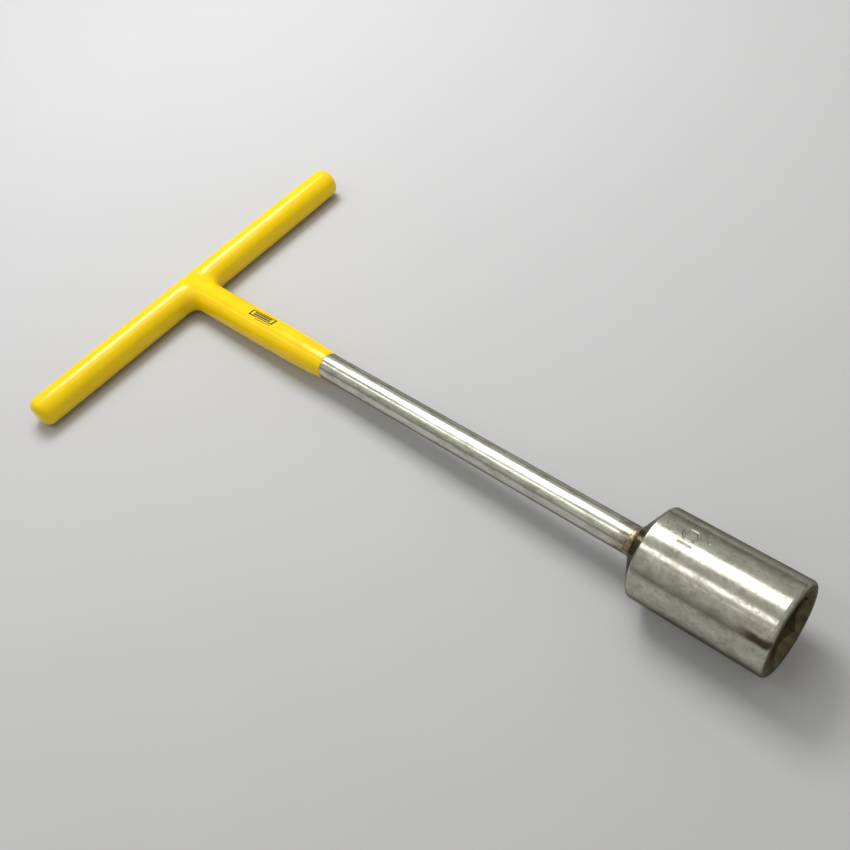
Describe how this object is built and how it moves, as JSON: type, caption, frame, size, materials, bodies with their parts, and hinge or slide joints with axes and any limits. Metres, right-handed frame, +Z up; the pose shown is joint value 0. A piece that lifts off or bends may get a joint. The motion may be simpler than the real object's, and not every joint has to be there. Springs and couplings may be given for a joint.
{
  "type": "fire hydrant wrench",
  "caption": "T-handled hydrant wrench: steel cross bar and shaft in a dipped yellow vinyl grip, with a round socket for a hexagonal operating nut welded to the shaft's end.",
  "frame": {"origin": "centre of the footprint on the floor that the tool lies on", "axes": "+X along the tool from the cross bar towards the socket, rising 2.3 degrees because the socket is thicker than the handle; +Y along the cross bar; +Z up"},
  "size_m": [0.5524, 0.328, 0.0654],
  "materials": {
    "bar_steel": "drawn round bar, hidden under the coating",
    "shaft_steel": "bright drawn bar with lengthwise draw marks",
    "socket_steel": "satin polished steel with cloudy stains and a few pits",
    "hidden_weld": "as-welded bead, hidden under the coating",
    "socket_weld": "ground weld with brown heat tint",
    "grip_vinyl": "glossy dipped vinyl",
    "label_print": "thin printed plate in black on yellow"
  },
  "bodies": {
    "root": {"cross_bar": "bar_steel", "shaft": "shaft_steel", "bar_weld": "hidden_weld", "grip_coating": "grip_vinyl", "grip_label": "label_print", "socket": "socket_steel", "socket_weld": "socket_weld"}
  },
  "joints": []
}
